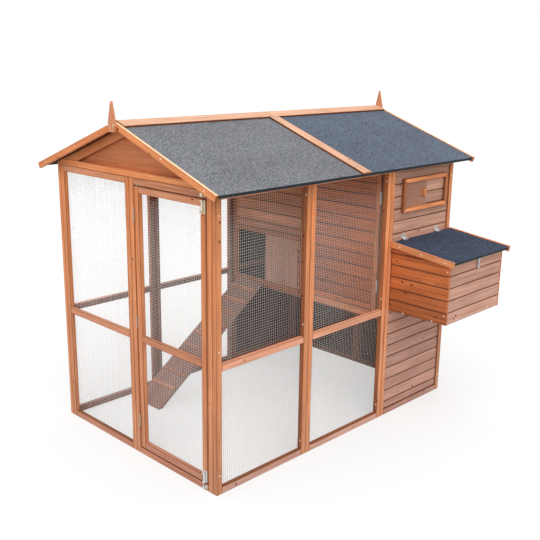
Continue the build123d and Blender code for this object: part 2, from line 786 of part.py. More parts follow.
side_edges = course_edges(nest_bottom, box_top(house_width), nest_bottom, nest_board_pitch)
lid_space = prism_y([(house_width, box_top(house_width)), (nest_front, box_top(nest_front)),
                     (nest_front, lid_hinge_z), (house_width, lid_hinge_z)], nest_left, nest_right)
nest_sides = []
for outer, inner in ((nest_left, nest_left + board_thickness), (nest_right, nest_right - board_thickness)):
    walls = cladding(side_edges[:-1], (house_width, nest_front), inner, outer, prism_x)
    top_board = board_outline(side_edges[-2], side_edges[-1] + board_chamfer, inner, outer, False, False)
    nest_sides += walls + [prism_x(top_board, house_width, nest_front) - lid_space]
front_edges = course_edges(nest_bottom, box_top(nest_front), nest_bottom, nest_board_pitch)
inside_span = (nest_left + board_thickness, nest_right - board_thickness)
nest_sides += cladding(front_edges, inside_span, nest_front - board_thickness, nest_front, prism_y)
save("nest_box_boards", nest_sides)

nest_inside = (house_width, nest_front - board_thickness)
nest_floor_top = nest_bottom + nest_floor_thickness
save("nest_box_floor", [block(nest_inside, inside_span, (nest_bottom, nest_floor_top))])
nest_middle = (nest_left + nest_right) / 2
divider_span = (nest_middle - board_thickness / 2, nest_middle + board_thickness / 2)
save("nest_divider", [block(nest_inside, divider_span, (nest_floor_top, nest_floor_top + divider_height))])

# Nest box lid: deck, felt turned down over the front edge, a small barge board on each side
lid_deck_top = lid_under + lid_thickness
lid_deck = prism_y(lid_strip(lid_under, lid_deck_top, lid_start, lid_end), lid_left, lid_right)
lid_felt_outline = [on_lid(lid_start, lid_deck_top), on_lid(lid_start, lid_felt_top),
                    on_lid(lid_felt_end, lid_felt_top), on_lid(lid_felt_end, lid_under),
                    on_lid(lid_end, lid_under), on_lid(lid_end, lid_deck_top)]
lid_felt = prism_y(lid_felt_outline, lid_left, lid_right)
lid_barge = lid_strip(lid_under - lid_barge_drop, lid_felt_top + lid_barge_rise, lid_start, lid_felt_end)
save("nest_lid", [lid_deck, prism_y(lid_barge, lid_left - lid_barge_thickness, lid_left),
                  prism_y(lid_barge, lid_right, lid_right + lid_barge_thickness)])
save("nest_lid_felt", [lid_felt])

lid_hinges = []
for middle in (nest_left + lid_hinge_inset, nest_right - lid_hinge_inset):
    start = (lid_hinge_x, middle - small_hinge_height / 2, lid_hinge_z)
    fixed_plane = Plane(origin=start, x_dir=(0, 0, 1), z_dir=(0, 1, 0))
    moving_plane = Plane(origin=start, x_dir=(lid_cos, 0, -lid_sin), z_dir=(0, 1, 0))
    lid_hinges.append(hinge_parts(fixed_plane, small_hinge_height, -1, moving_plane, 1))
save("lid_leaves", [moving for fixed, moving, pin in lid_hinges])
fixed_leaves += [fixed for fixed, moving, pin in lid_hinges]
hinge_pins += [pin for fixed, moving, pin in lid_hinges]
save("hinge_fixed_leaves", fixed_leaves)
save("hinge_pins", hinge_pins)

# Hasp: a strap that hangs from a leaf under the lid, in front of a staple on the box
hasp_x = nest_front + hasp_stand_off
hasp_along = (hasp_x - lid_hinge_x - lid_under * lid_sin) / lid_cos
hasp_z = on_lid(hasp_along, lid_under - hasp_knuckle_radius)[1]
hasp_axis = on_lid(hasp_along, lid_under - hasp_knuckle_radius)[0]
strap_half = strap_width / 2
eye_half = strap_width / 6


def along_hasp_pin(section, low, high):
    """A section carried along y on the hasp's pin."""
    plane = Plane(origin=(hasp_axis, nest_middle + low, hasp_z), x_dir=(1, 0, 0), z_dir=(0, 1, 0))
    return extrude(plane * section, high - low)


leaf_outline = lid_strip(lid_under - leaf_thickness, lid_under, hasp_along, hasp_along + hasp_leaf_length)
hasp_leaf = prism_y(leaf_outline, nest_middle - strap_half, nest_middle + strap_half)
eye_room = eye_half + hinge_play
hasp_knuckle = bar(hasp_knuckle_radius, round_sides)
hasp_leaf -= along_hasp_pin(hole(hasp_knuckle_radius + hinge_play, round_sides), -eye_room, eye_room)
for low, high in ((-strap_half, -eye_room), (eye_room, strap_half)):
    hasp_leaf += along_hasp_pin(hasp_knuckle, low, high)
hasp_leaf += along_hasp_pin(Circle(hasp_pin_radius), -strap_half, strap_half)
save("hasp_leaf", [hasp_leaf])

strap_y = (nest_middle - strap_half, nest_middle + strap_half)
strap_x = (hasp_axis - strap_thickness / 2, hasp_axis + strap_thickness / 2)
strap_bottom = hasp_z - strap_length
neck_top = hasp_z - hasp_knuckle_radius - hinge_play
strap = block(strap_x, strap_y, (strap_bottom, neck_top))
strap += block(strap_x, (nest_middle - eye_half, nest_middle + eye_half), (strap_bottom, hasp_z))
slot_low = strap_bottom + strap_slot_end
strap -= block(strap_x, (nest_middle - strap_slot_width / 2, nest_middle + strap_slot_width / 2),
               (slot_low, slot_low + strap_slot_height))
strap += along_hasp_pin(hasp_knuckle, -eye_half, eye_half)
strap -= along_hasp_pin(hole(hasp_pin_radius + hinge_pin_fit, pin_sides), -strap_half, strap_half)
save("hasp_strap", [strap])

staple_middle = slot_low + strap_slot_height / 2
staple = block((nest_front, nest_front + staple_reach),
               (nest_middle - staple_thickness / 2, nest_middle + staple_thickness / 2),
               (staple_middle - staple_height / 2, staple_middle + staple_height / 2))
eye_plane = Plane(origin=(nest_front + staple_reach / 2, nest_middle - staple_thickness, staple_middle),
                  x_dir=(1, 0, 0), z_dir=(0, 1, 0))
staple_eye = extrude(eye_plane * hole(staple_eye_radius, round_sides), 2 * staple_thickness)
save("hasp_staple", [staple - staple_eye])

# Vent window: a mitred frame on spacers, with a plywood shutter that slides behind it
frame_bottom = window_bottom - window_bar
frame_top = window_top + window_bar
spacer_width = window_bar - window_channel


def ring(width, x_start, x_end):
    """Four mitred bars round the window."""
    def corners(inset):
        left, right = window_left + inset, window_right - inset
        low, high = frame_bottom + inset, frame_top - inset
        return [(left, low), (right, low), (right, high), (left, high)]

    outer, inner = corners(0), corners(width)
    sides = [(0, 1), (1, 2), (2, 3), (3, 0)]
    return [prism_x([outer[a], outer[b], inner[b], inner[a]], x_start, x_end) for a, b in sides]


spacer_front = cladding_outer + window_spacer
save("window_frame", ring(spacer_width, cladding_outer, spacer_front)
     + ring(window_bar, spacer_front, spacer_front + window_bar_thickness))

channel_bottom = frame_bottom + spacer_width
channel_top = frame_top - spacer_width
shutter_left = window_left + spacer_width + shutter_play
shutter_right = shutter_left + shutter_width
shutter_x = spacer_front - shutter_play - shutter_thickness
shutter = block((shutter_x, shutter_x + shutter_thickness), (shutter_left, shutter_right),
                (channel_bottom + shutter_play, channel_top - shutter_play))
knob_y = shutter_right - knob_from_edge
knob_plane = Plane(origin=(shutter_x + shutter_thickness, knob_y, (channel_bottom + channel_top) / 2),
                   x_dir=(0, 0, 1), z_dir=(1, 0, 0))
knob = extrude(knob_plane * SlotOverall(knob_height, knob_width), knob_depth)
knob = chamfer(knob.faces().sort_by(Axis.X)[-1].edges(), knob_chamfer)
save("window_shutter", [shutter, knob])
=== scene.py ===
import bpy
import bmesh
import json
import math
import numpy as np
from mathutils import Matrix, Vector


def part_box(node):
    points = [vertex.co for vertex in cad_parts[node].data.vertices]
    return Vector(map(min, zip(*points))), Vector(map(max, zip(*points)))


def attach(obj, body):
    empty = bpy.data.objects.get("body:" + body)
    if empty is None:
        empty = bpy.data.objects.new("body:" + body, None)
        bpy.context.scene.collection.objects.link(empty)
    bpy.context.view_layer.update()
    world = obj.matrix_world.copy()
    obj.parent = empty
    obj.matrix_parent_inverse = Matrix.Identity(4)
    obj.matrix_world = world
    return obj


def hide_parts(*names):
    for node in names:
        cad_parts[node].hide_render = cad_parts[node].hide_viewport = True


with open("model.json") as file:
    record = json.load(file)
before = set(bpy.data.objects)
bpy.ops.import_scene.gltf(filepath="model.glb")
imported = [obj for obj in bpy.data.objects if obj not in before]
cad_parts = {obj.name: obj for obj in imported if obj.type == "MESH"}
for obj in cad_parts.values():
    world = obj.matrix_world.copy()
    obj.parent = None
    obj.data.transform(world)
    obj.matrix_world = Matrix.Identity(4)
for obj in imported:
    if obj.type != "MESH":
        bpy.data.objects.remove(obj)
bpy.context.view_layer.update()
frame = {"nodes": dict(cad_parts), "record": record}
record = frame["record"]
bodyOf = {node: body for body, nodes in record["behaviour"]["bodies"].items() for node in nodes}
slotOf = {part["node"]: part["material_slot"] for part in record["subparts"]}
print("frame", len(frame["nodes"]), "nodes")

# Camera, fitted to the photograph's edges. The eye is in metres from the house's front left corner on the
# ground, angles are in degrees, lens and sensor in mm, and the shift is in pixels of the square frame.
view = {"eye": (3.60837, -2.14313, 1.91365), "azimuth": 45.6956, "elevation": 14.9345, "roll": -0.4105,
        "lens": 53.2417, "sensor": 36, "shiftPixels": 20, "framePixels": 540}
houseCorner = Vector((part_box("left_front_run_panel")[0][0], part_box("front_panel_frame")[0][1], 0))
azimuth, elevation, roll = (math.radians(view[angle]) for angle in ("azimuth", "elevation", "roll"))
forward = -Vector((math.sin(azimuth) * math.cos(elevation), -math.cos(azimuth) * math.cos(elevation),
                   math.sin(elevation)))
right = forward.cross(Vector((0, 0, 1))).normalized()
down = forward.cross(right)
rolledRight = math.cos(roll) * right + math.sin(roll) * down
rolledDown = -math.sin(roll) * right + math.cos(roll) * down
cameraData = bpy.data.cameras.new("camera")
cameraData.sensor_width = view["sensor"]
cameraData.lens = view["lens"]
cameraData.shift_x = view["shiftPixels"] / view["framePixels"]
camera = bpy.data.objects.new("camera", cameraData)
pose = Matrix((rolledRight, -rolledDown, -forward)).transposed().to_4x4()
pose.translation = houseCorner + Vector(view["eye"])
camera.matrix_world = pose
bpy.context.collection.objects.link(camera)
bpy.context.scene.camera = camera
bpy.context.scene.view_settings.view_transform = "Standard"
print("camera")


def linear(code):  # sRGB hex to linear
    values = [int(code[place:place + 2], 16) / 255 for place in (0, 2, 4)]
    return tuple(v / 12.92 if v <= 0.04045 else ((v + 0.055) / 1.055) ** 2.4 for v in values) + (1.0,)


# One shader node with its settings. An input takes a value, or a socket that is linked to it; an output comes
# back. A colour mix has its share at input 0, its two colours at 6 and 7 and its result at output 2.
def add(tree, kind, inputs=(), out=0, **settings):
    made = tree.nodes.new(kind)
    for key, value in settings.items():
        setattr(made, key, value)
    for place, value in dict(inputs).items():
        if isinstance(value, bpy.types.NodeSocket):
            tree.links.new(value, made.inputs[place])
        else:
            made.inputs[place].default_value = value
    return made.outputs[out] if len(made.outputs) else made


def newMaterial(name):
    material = bpy.data.materials.new(name)
    material.use_nodes = True
    material.node_tree.nodes.clear()
    return material, material.node_tree


# How many of each figure a metre of timber holds, along, across and through the grain: fibres 4 mm wide, thin
# lines 5 mm and streaks 13 mm, about twice as coarse as real ones, to show; one knot at most in 67 by 45 mm;
# slower changes of tone; bends of the grain, bendDepth metres deep.
figure = {"fibres": (6, 240, 240), "lines": (2.4, 190, 190), "streaks": (1.6, 75, 75), "knots": (15, 22, 22),
          "tones": (3.2, 8, 8), "bends": (3, 14, 14), "bendDepth": (0, 0.022, 0.022)}

# What a stain has unless its own dictionary says otherwise. Its colour is multiplied by foot at the ground
# and by head at the eaves, which is their height in metres, so it is greyer and bluer towards the ground and
# more orange towards the eaves.
commonStain = {"eaves": 1.38, "foot": (0.9, 0.98, 1.22), "head": (1.1, 0.99, 0.86), "shine": 0.3}


# Planed and stained softwood: growth rings round a pith beside the piece, streaks and thin dark lines where
# the stain took more, fine fibres, a few knots, and painted shade that darkens each face towards its timber's
# edges. The grain attribute holds metres along (x) and across (y, z) each timber, place runs from -1 to 1
# over its size, and tone from -1 to 1 from timber to timber. ring is the width of a growth ring in metres,
# also drawn about twice as coarse as real ones.
def woodMaterial(name, ownStain):
    stain = {**commonStain, **ownStain}
    material, tree = newMaterial(name)
    grain = add(tree, "ShaderNodeAttribute", out="Vector", attribute_name="grain")
    place = add(tree, "ShaderNodeAttribute", out="Vector", attribute_name="place")
    tone = add(tree, "ShaderNodeAttribute", out="Fac", attribute_name="tone")
    slow = add(tree, "ShaderNodeVectorMath", {0: grain, 1: figure["bends"]}, operation="MULTIPLY")
    wander = add(tree, "ShaderNodeTexNoise", {"Vector": slow, "Scale": 1, "Detail": 2}, out="Color")
    bent = add(tree, "ShaderNodeVectorMath", {0: wander, 1: figure["bendDepth"], 2: grain},
               operation="MULTIPLY_ADD")
    ringScale = math.tau / (20 * stain["ring"])  # the wave texture turns 20 radians in a unit
    rings = add(tree, "ShaderNodeTexWave", {"Vector": bent, "Scale": ringScale}, out="Fac",
                wave_type="RINGS", rings_direction="X", wave_profile="SAW")
    hair = add(tree, "ShaderNodeVectorMath", {0: grain, 1: figure["fibres"]}, operation="MULTIPLY")
    fibres = add(tree, "ShaderNodeTexNoise", {"Vector": hair, "Scale": 1, "Detail": 2, "Roughness": 0.6})
    broad = add(tree, "ShaderNodeVectorMath", {0: grain, 1: figure["streaks"]}, operation="MULTIPLY")
    streaks = add(tree, "ShaderNodeTexNoise", {"Vector": broad, "Scale": 1, "Detail": 3, "Roughness": 0.6})
    thin = add(tree, "ShaderNodeVectorMath", {0: bent, 1: figure["lines"]}, operation="MULTIPLY")
    threads = add(tree, "ShaderNodeTexNoise", {"Vector": thin, "Scale": 1, "Detail": 1})
    length = add(tree, "ShaderNodeVectorMath", {0: grain, 1: figure["tones"]}, operation="MULTIPLY")
    drift = add(tree, "ShaderNodeTexNoise", {"Vector": length, "Scale": 1, "Detail": 1})
    spaced = add(tree, "ShaderNodeVectorMath", {0: bent, 1: figure["knots"]}, operation="MULTIPLY")
    cells = add(tree, "ShaderNodeTexVoronoi", {"Vector": spaced, "Scale": 1}, out="Distance")
    chosen = add(tree, "ShaderNodeMapRange", {"Value": cells.node.outputs["Color"],
                                              "From Min": 1 - stain["knots"],
                                              "From Max": 1.02 - stain["knots"]})
    spot = add(tree, "ShaderNodeMapRange", {"Value": cells, "From Min": 0.06, "From Max": 0.15,
                                            "To Min": 0.95, "To Max": 0})
    knot = add(tree, "ShaderNodeMath", {0: spot, 1: chosen}, operation="MULTIPLY")
    # painted shade: each face darkens towards its timber's edges, by the stain's edge share
    across = add(tree, "ShaderNodeVectorMath", {0: place}, operation="ABSOLUTE")
    nearY = add(tree, "ShaderNodeSeparateXYZ", {0: across}, out="Y")
    arris = add(tree, "ShaderNodeMath", {0: nearY, 1: nearY.node.outputs["Z"]}, operation="MINIMUM")
    edgeShade = add(tree, "ShaderNodeMapRange", {"Value": arris, "From Min": 0.66, "From Max": 1.0,
                                              "To Max": stain["edge"]})
    taken = add(tree, "ShaderNodeMapRange", {"Value": streaks, "From Min": 0.36, "From Max": 0.64})
    late = add(tree, "ShaderNodeMath", {0: rings, 1: stain["ringDepth"]}, operation="MULTIPLY")
    lines = add(tree, "ShaderNodeMapRange", {"Value": fibres, "From Min": 0.48, "From Max": 0.75,
                                             "To Max": 0.5})
    drawn = add(tree, "ShaderNodeMapRange", {"Value": threads, "From Min": 0.55, "From Max": 0.72,
                                             "To Max": stain["lines"]})
    colour = add(tree, "ShaderNodeMix", {0: taken, 6: linear(stain["pale"]), 7: linear(stain["mid"])}, 2,
                 data_type="RGBA")
    for share, over in ((late, "dark"), (lines, "dark"), (drawn, "dark"), (edgeShade, "dark"), (knot, "knot")):
        colour = add(tree, "ShaderNodeMix", {0: share, 6: colour, 7: linear(stain[over])}, 2,
                     data_type="RGBA")
    own = add(tree, "ShaderNodeMapRange", {"Value": tone, "From Min": -1, "To Min": 1 - stain["spread"],
                                           "To Max": 1 + stain["spread"]})
    along = add(tree, "ShaderNodeMapRange", {"Value": drift, "From Min": 0.3, "From Max": 0.7, "To Min": 0.9,
                                             "To Max": 1.1})
    shade = add(tree, "ShaderNodeMath", {0: own, 1: along}, operation="MULTIPLY")
    colour = add(tree, "ShaderNodeVectorMath", {0: colour, "Scale": shade}, operation="SCALE")
    stands = add(tree, "ShaderNodeTexCoord", out="Object")
    height = add(tree, "ShaderNodeSeparateXYZ", {0: stands}, out="Z")
    raised = add(tree, "ShaderNodeMapRange", {"Value": height, "From Max": stain["eaves"]})
    heightTint = add(tree, "ShaderNodeMix", {0: raised, 6: stain["foot"] + (1,), 7: stain["head"] + (1,)}, 2,
                 data_type="RGBA")
    colour = add(tree, "ShaderNodeVectorMath", {0: colour, 1: heightTint}, operation="MULTIPLY")
    sheen = add(tree, "ShaderNodeMapRange", {"Value": fibres, "From Min": 0.3, "From Max": 0.7,
                                             "To Min": stain["rough"] - 0.08, "To Max": stain["rough"] + 0.1})
    relief = add(tree, "ShaderNodeBump", {"Height": fibres, "Strength": 0.3, "Distance": 0.0005})
    shader = add(tree, "ShaderNodeBsdfPrincipled", {"Base Color": colour, "Roughness": sheen,
                                                    "Normal": relief, "Specular IOR Level": stain["shine"]})
    add(tree, "ShaderNodeOutputMaterial", {"Surface": shader})
    return material


# Mineral felt: bitumen sheet under slate grit, pale and dark grains mixed, with a slow change of tone across
# the roll. Real grains are 1 to 2 mm; they are drawn about 4 mm wide, to show. Sizes are in metres.
feltSheet = {"grain": 0.0038, "roll": 0.25}


def feltMaterial(name, grit):
    material, tree = newMaterial(name)
    grain = add(tree, "ShaderNodeAttribute", out="Vector", attribute_name="grain")
    grains = add(tree, "ShaderNodeTexVoronoi", {"Vector": grain, "Scale": 1 / feltSheet["grain"]},
                 out="Distance")
    roll = add(tree, "ShaderNodeTexNoise", {"Vector": grain, "Scale": 1 / feltSheet["roll"], "Detail": 3})
    mixedTone = add(tree, "ShaderNodeMapRange", {"Value": grains.node.outputs["Color"], "From Min": 0.15,
                                                 "From Max": 0.85})
    colour = add(tree, "ShaderNodeMix", {0: mixedTone, 6: linear(grit["dark"]), 7: linear(grit["pale"])}, 2,
                 data_type="RGBA")
    shade = add(tree, "ShaderNodeMapRange", {"Value": roll, "From Min": 0.3, "From Max": 0.7, "To Min": 0.92,
                                             "To Max": 1.08})
    colour = add(tree, "ShaderNodeVectorMath", {0: colour, "Scale": shade}, operation="SCALE")
    relief = add(tree, "ShaderNodeBump", {"Height": grains, "Strength": 0.5, "Distance": 0.0008})
    shader = add(tree, "ShaderNodeBsdfPrincipled", {"Base Color": colour, "Roughness": 0.9, "Normal": relief,
                                                    "Specular IOR Level": 0.2})
    add(tree, "ShaderNodeOutputMaterial", {"Surface": shader})
    return material


# Zinc plated or galvanised steel: a soft spangle in tone and smears in the roughness, their sizes in metres
zincCoat = {"spangle": 0.006, "smear": 0.02}


def zincMaterial(name, plate):
    material, tree = newMaterial(name)
    place = add(tree, "ShaderNodeTexCoord", out="Object")
    spangle = add(tree, "ShaderNodeTexVoronoi", {"Vector": place, "Scale": 1 / zincCoat["spangle"]},
                  out="Color")
    smear = add(tree, "ShaderNodeTexNoise", {"Vector": place, "Scale": 1 / zincCoat["smear"], "Detail": 3})
    crystal = add(tree, "ShaderNodeMapRange", {"Value": spangle, "To Min": 0.2, "To Max": 0.8})
    colour = add(tree, "ShaderNodeMix", {0: crystal, 6: linear(plate["dark"]), 7: linear(plate["pale"])}, 2,
                 data_type="RGBA")
    gloss = add(tree, "ShaderNodeMapRange", {"Value": smear, "From Min": 0.3, "From Max": 0.7,
                                             "To Min": plate["rough"] - 0.08,
                                             "To Max": plate["rough"] + 0.12})
    shader = add(tree, "ShaderNodeBsdfPrincipled", {"Base Color": colour, "Roughness": gloss,
                                                    "Metallic": plate["metal"]})
    add(tree, "ShaderNodeOutputMaterial", {"Surface": shader})
    return material


timber = woodMaterial("stained softwood timber", {  # posts and most framing, orange with dark arrises
    "pale": "F4A974", "mid": "E5905B", "dark": "944A28", "knot": "55290F", "ring": 0.011, "ringDepth": 0.22,
    "knots": 0.45, "spread": 0.16, "edge": 0.45, "lines": 0.32, "rough": 0.55})
sideRail = woodMaterial("paler stained rail", {  # rails of the side walls took less stain
    "pale": "F9BA96", "mid": "ECA37D", "dark": "AC6C4A", "knot": "6A3A20", "ring": 0.011, "ringDepth": 0.2,
    "knots": 0.45, "spread": 0.12, "edge": 0.15, "lines": 0.25, "rough": 0.55})
frontRail = woodMaterial("reddish stained rail", {  # front and rear rails and finials, redder and more even
    "pale": "E4A27B", "mid": "D68B64", "dark": "904E30", "knot": "55290F", "ring": 0.011, "ringDepth": 0.2,
    "knots": 0.4, "spread": 0.12, "edge": 0.2, "lines": 0.28, "rough": 0.55, "foot": (0.97, 1.0, 1.16),
    "head": (1.0, 0.99, 0.96)})
cleatTimber = woodMaterial("darker stained ramp cleat", {  # darker and duller than the rails
    "pale": "CC8F6C", "mid": "BA7B58", "dark": "7C482E", "knot": "55290F", "ring": 0.011, "ringDepth": 0.2,
    "knots": 0.3, "spread": 0.12, "edge": 0.3, "lines": 0.3, "rough": 0.6, "foot": (1.0, 1.0, 1.1)})
revealTimber = woodMaterial("timber in painted shade", {  # painted shade: reveals by the bays, partition, pop door tracks
    "pale": "BE7C50", "mid": "AA6842", "dark": "6C3A20", "knot": "452312", "ring": 0.011, "ringDepth": 0.25,
    "knots": 0.4, "spread": 0.16, "edge": 0.4, "lines": 0.35, "rough": 0.6, "foot": (0.7, 0.66, 0.74),
    "head": (1.15, 1.0, 0.82)})
shadeTimber = woodMaterial("timber in painted shade, facing the inside", {  # painted shade on faces looking into the run
    "pale": "94522E", "mid": "82421F", "dark": "542A12", "knot": "32190C", "ring": 0.011, "ringDepth": 0.25,
    "knots": 0.4, "spread": 0.14, "edge": 0.3, "lines": 0.35, "rough": 0.6})
roofTimber = woodMaterial("painted highlight on roof timber", {  # upper faces paler: a painted highlight of the top light
    "pale": "F2C1A1", "mid": "E4AA88", "dark": "A8714E", "knot": "6A3E24", "ring": 0.013, "ringDepth": 0.3,
    "knots": 0.3, "spread": 0.08, "edge": 0.25, "lines": 0.4, "rough": 0.5, "head": (1.0, 1.0, 1.0)})
creamTimber = woodMaterial("painted highlight on a board's top edge", {  # painted highlight on the pale top faces of the barges
    "pale": "FBE4C6", "mid": "F2CFA6", "dark": "CE9C6C", "knot": "7A4A2E", "ring": 0.013, "ringDepth": 0.25,
    "knots": 0.2, "spread": 0.05, "edge": 0.1, "lines": 0.3, "rough": 0.5, "head": (1.0, 1.0, 1.0)})
endGrain = woodMaterial("stained end grain", {  # sawn ends drink more stain
    "pale": "B0713F", "mid": "985A30", "dark": "6E3B1C", "knot": "4A2812", "ring": 0.004, "ringDepth": 0.4,
    "knots": 0.0, "spread": 0.12, "edge": 0.2, "lines": 0.2, "rough": 0.7})
darkArris = woodMaterial("painted shade on an arris", {  # painted shade on eased edges and sawn sides of roof timbers
    "pale": "8E5632", "mid": "7A4626", "dark": "552E18", "knot": "3E2010", "ring": 0.011, "ringDepth": 0.3,
    "knots": 0.0, "spread": 0.15, "edge": 0.0, "lines": 0.4, "rough": 0.6})
wallArris = woodMaterial("painted shade on a wall timber's arris", {  # painted shade on eased edges, softer than on the roof
    "pale": "B4744A", "mid": "A2653E", "dark": "744427", "knot": "4A2812", "ring": 0.011, "ringDepth": 0.3,
    "knots": 0.0, "spread": 0.15, "edge": 0.0, "lines": 0.4, "rough": 0.6})
boarding = woodMaterial("stained softwood boarding", {  # pinker than the posts, with many small knots
    "pale": "DCAE99", "mid": "CB9983", "dark": "85543F", "knot": "4A2A1E", "ring": 0.013, "ringDepth": 0.18,
    "knots": 0.62, "spread": 0.16, "edge": 0.35, "lines": 0.22, "rough": 0.6, "foot": (1.03, 1.02, 1.06),
    "head": (1.02, 0.98, 0.92)})
innerBoarding = woodMaterial("boarding in painted shade, facing the inside", {  # painted shade inside and under the coop
    "pale": "462C21", "mid": "3A231A", "dark": "24140E", "knot": "20120B", "ring": 0.013, "ringDepth": 0.3,
    "knots": 0.45, "spread": 0.16, "edge": 0.35, "lines": 0.5, "rough": 0.8, "shine": 0.08})
runBoarding = woodMaterial("boarding in painted shade under the run's roof", {  # painted shade of the run's roof, dull, with strong lines
    "pale": "E3A37F", "mid": "CF8F69", "dark": "7D492E", "knot": "44240F", "ring": 0.013, "ringDepth": 0.3,
    "knots": 0.45, "spread": 0.16, "edge": 0.35, "lines": 0.4, "rough": 0.7, "shine": 0.15})
orangeBoarding = woodMaterial("orange stained boarding", {  # nest box sides and cleaning door, well streaked
    "pale": "DB8149", "mid": "C66D39", "dark": "783919", "knot": "40200F", "ring": 0.013, "ringDepth": 0.25,
    "knots": 0.6, "spread": 0.2, "edge": 0.4, "lines": 0.45, "rough": 0.5})
groove = woodMaterial("painted shade in a groove", {  # painted shade: a dark line in the V joint between boards
    "pale": "86553D", "mid": "714630", "dark": "4E2E1F", "knot": "341C12", "ring": 0.013, "ringDepth": 0.3,
    "knots": 0.0, "spread": 0.1, "edge": 0.0, "lines": 0.3, "rough": 0.7})
plywood = woodMaterial("stained plywood", {  # rotary peeled face, so broad pale figure and few knots
    "pale": "B4846C", "mid": "A8785E", "dark": "84573F", "knot": "704733", "ring": 0.03, "ringDepth": 0.15,
    "knots": 0.1, "spread": 0.06, "edge": 0.0, "lines": 0.15, "rough": 0.6, "head": (0.98, 0.96, 0.92)})
paintedLightPly = woodMaterial("stained plywood with painted light under the run's roof", {  # paler: painted light against the run roof's shade
    "pale": "D4A68D", "mid": "C49379", "dark": "91644B", "knot": "754B37", "ring": 0.03, "ringDepth": 0.15,
    "knots": 0.1, "spread": 0.06, "edge": 0.0, "lines": 0.2, "rough": 0.65, "shine": 0.15})
gablePly = woodMaterial("orange stained plywood", {  # gables, smooth and barely figured
    "pale": "D3875A", "mid": "C57849", "dark": "9C5A34", "knot": "7E4524", "ring": 0.03, "ringDepth": 0.1,
    "knots": 0.1, "spread": 0.05, "edge": 0.0, "lines": 0.12, "rough": 0.6, "head": (1.03, 0.97, 0.9)})
frontFelt = feltMaterial("mineral roofing felt, slate", {"dark": "4E5156", "pale": "8F9095"})
rearFelt = feltMaterial("mineral roofing felt, blue slate", {"dark": "343A46", "pale": "727C8C"})
lidFelt = feltMaterial("mineral roofing felt, dark", {"dark": "10151F", "pale": "4D596F"})
feltEdge = feltMaterial("roofing felt cut edge", {"dark": "20252A", "pale": "3A4147"})  # bare bitumen shows
zinc = zincMaterial("zinc plated steel", {  # bright, lightly blurred reflections
    "dark": "C8CACB", "pale": "F0F2F4", "metal": 0.75, "rough": 0.36})
boltZinc = zincMaterial("yellow passivated zinc", {  # straw coloured
    "dark": "D2C6A6", "pale": "F4ECD4", "metal": 0.6, "rough": 0.34})
dullSteel = zincMaterial("browned steel", {  # stained over with the ramp
    "dark": "94643F", "pale": "A87650", "metal": 0.3, "rough": 0.55})
wire = zincMaterial("galvanised wire", {  # hot dipped, nearly white
    "dark": "F8F4F0", "pale": "FFFCFA", "metal": 1.0, "rough": 0.36})
dullWire = zincMaterial("weathered galvanised wire", {  # greyer and rougher on the weather side
    "dark": "E6DDD6", "pale": "F4EDE8", "metal": 1.0, "rough": 0.4})
hingeZinc = zincMaterial("stained over zinc hinge", {  # a film of stain browns the door's hinges
    "dark": "B0947E", "pale": "CDB5A2", "metal": 0.6, "rough": 0.42})
haspZinc = zincMaterial("zinc plated hasp", {  # a thinner, greyer plating
    "dark": "A2A7AB", "pale": "C6CACE", "metal": 0.8, "rough": 0.38})
screwZinc = zincMaterial("pale zinc screw", {  # small and pale against the stain
    "dark": "DED8C8", "pale": "F4EFE2", "metal": 0.3, "rough": 0.4})
print("materials")


def unit(vectors):  # each vector at length 1
    return vectors / np.linalg.norm(vectors, axis=-1, keepdims=True)


def faceNormals(points, triangles):  # square to each triangle, and as long as twice its area
    first, second, third = points[triangles].swapaxes(0, 1)
    return np.cross(second - first, third - first)


def vertexPlaces(mesh):  # one row of coordinates for each vertex
    spots = np.empty(len(mesh.vertices) * 3)
    mesh.vertices.foreach_get("co", spots)
    return spots.reshape(-1, 3)


# The closed solids of a CAD node. Its triangles are loose, and solids in one node touch, so corners are first
# welded on a grid, and triangles are then joined across each edge to the neighbour met first when turning
# from the face into its own material. leastTurn is in radians, facing is a cosine.
welding = {"gridPerMetre": 1e5, "leastArea": 1e-12, "leastTurn": 1e-4, "facing": 0.5}


def solidsOf(node):
    mesh = frame["nodes"][node].data
    mesh.calc_loop_triangles()
    corners = np.empty(len(mesh.loop_triangles) * 3, dtype=np.int32)
    mesh.loop_triangles.foreach_get("vertices", corners)
    gridPlaces = np.round(vertexPlaces(mesh) * welding["gridPerMetre"]).astype(np.int64)
    keys, inverse = np.unique(gridPlaces, axis=0, return_inverse=True)
    points = keys / welding["gridPerMetre"]
    triangles = inverse.reshape(-1)[corners].reshape(-1, 3)
    normals = faceNormals(points, triangles)
    whole = np.linalg.norm(normals, axis=1) > welding["leastArea"]
    triangles, normals = triangles[whole], unit(normals[whole])
    owner = list(range(len(triangles)))

    def root(item):
        while owner[item] != item:
            owner[item] = owner[owner[item]]
            item = owner[item]
        return item

    edges = {}
    for index, (a, b, c) in enumerate(triangles):
        for start, end in ((a, b), (b, c), (c, a)):
            edges.setdefault((min(start, end), max(start, end)), []).append((index, start, end))
    for sides in edges.values():
        for index, start, end in sides:
            run = unit(points[end] - points[start])
            inward = np.cross(normals[index], run)
            best, partner = math.inf, None
            for other, otherStart, _ in sides:
                if other == index or otherStart == start:
                    continue
                reach = np.cross(normals[other], -run)
                angle = math.atan2(-normals[index] @ reach, inward @ reach) % math.tau
                angle = math.tau if angle < welding["leastTurn"] else angle
                turn = -math.sin(angle) * inward - math.cos(angle) * normals[index]
                if normals[other] @ turn > welding["facing"] and angle < best:
                    best, partner = angle, other
            if partner is not None:
                owner[root(index)] = root(partner)
    groups = {}
    for index in range(len(triangles)):
        groups.setdefault(root(index), []).append(index)
    found = []
    for members in groups.values():
        used, local = np.unique(triangles[members], return_inverse=True)
        found.append((points[used], local.reshape(-1, 3)))
    return found


def solidBoxes(node):  # lowest and highest corner of each solid
    return [(points.min(axis=0), points.max(axis=0)) for points, _ in solidsOf(node)]


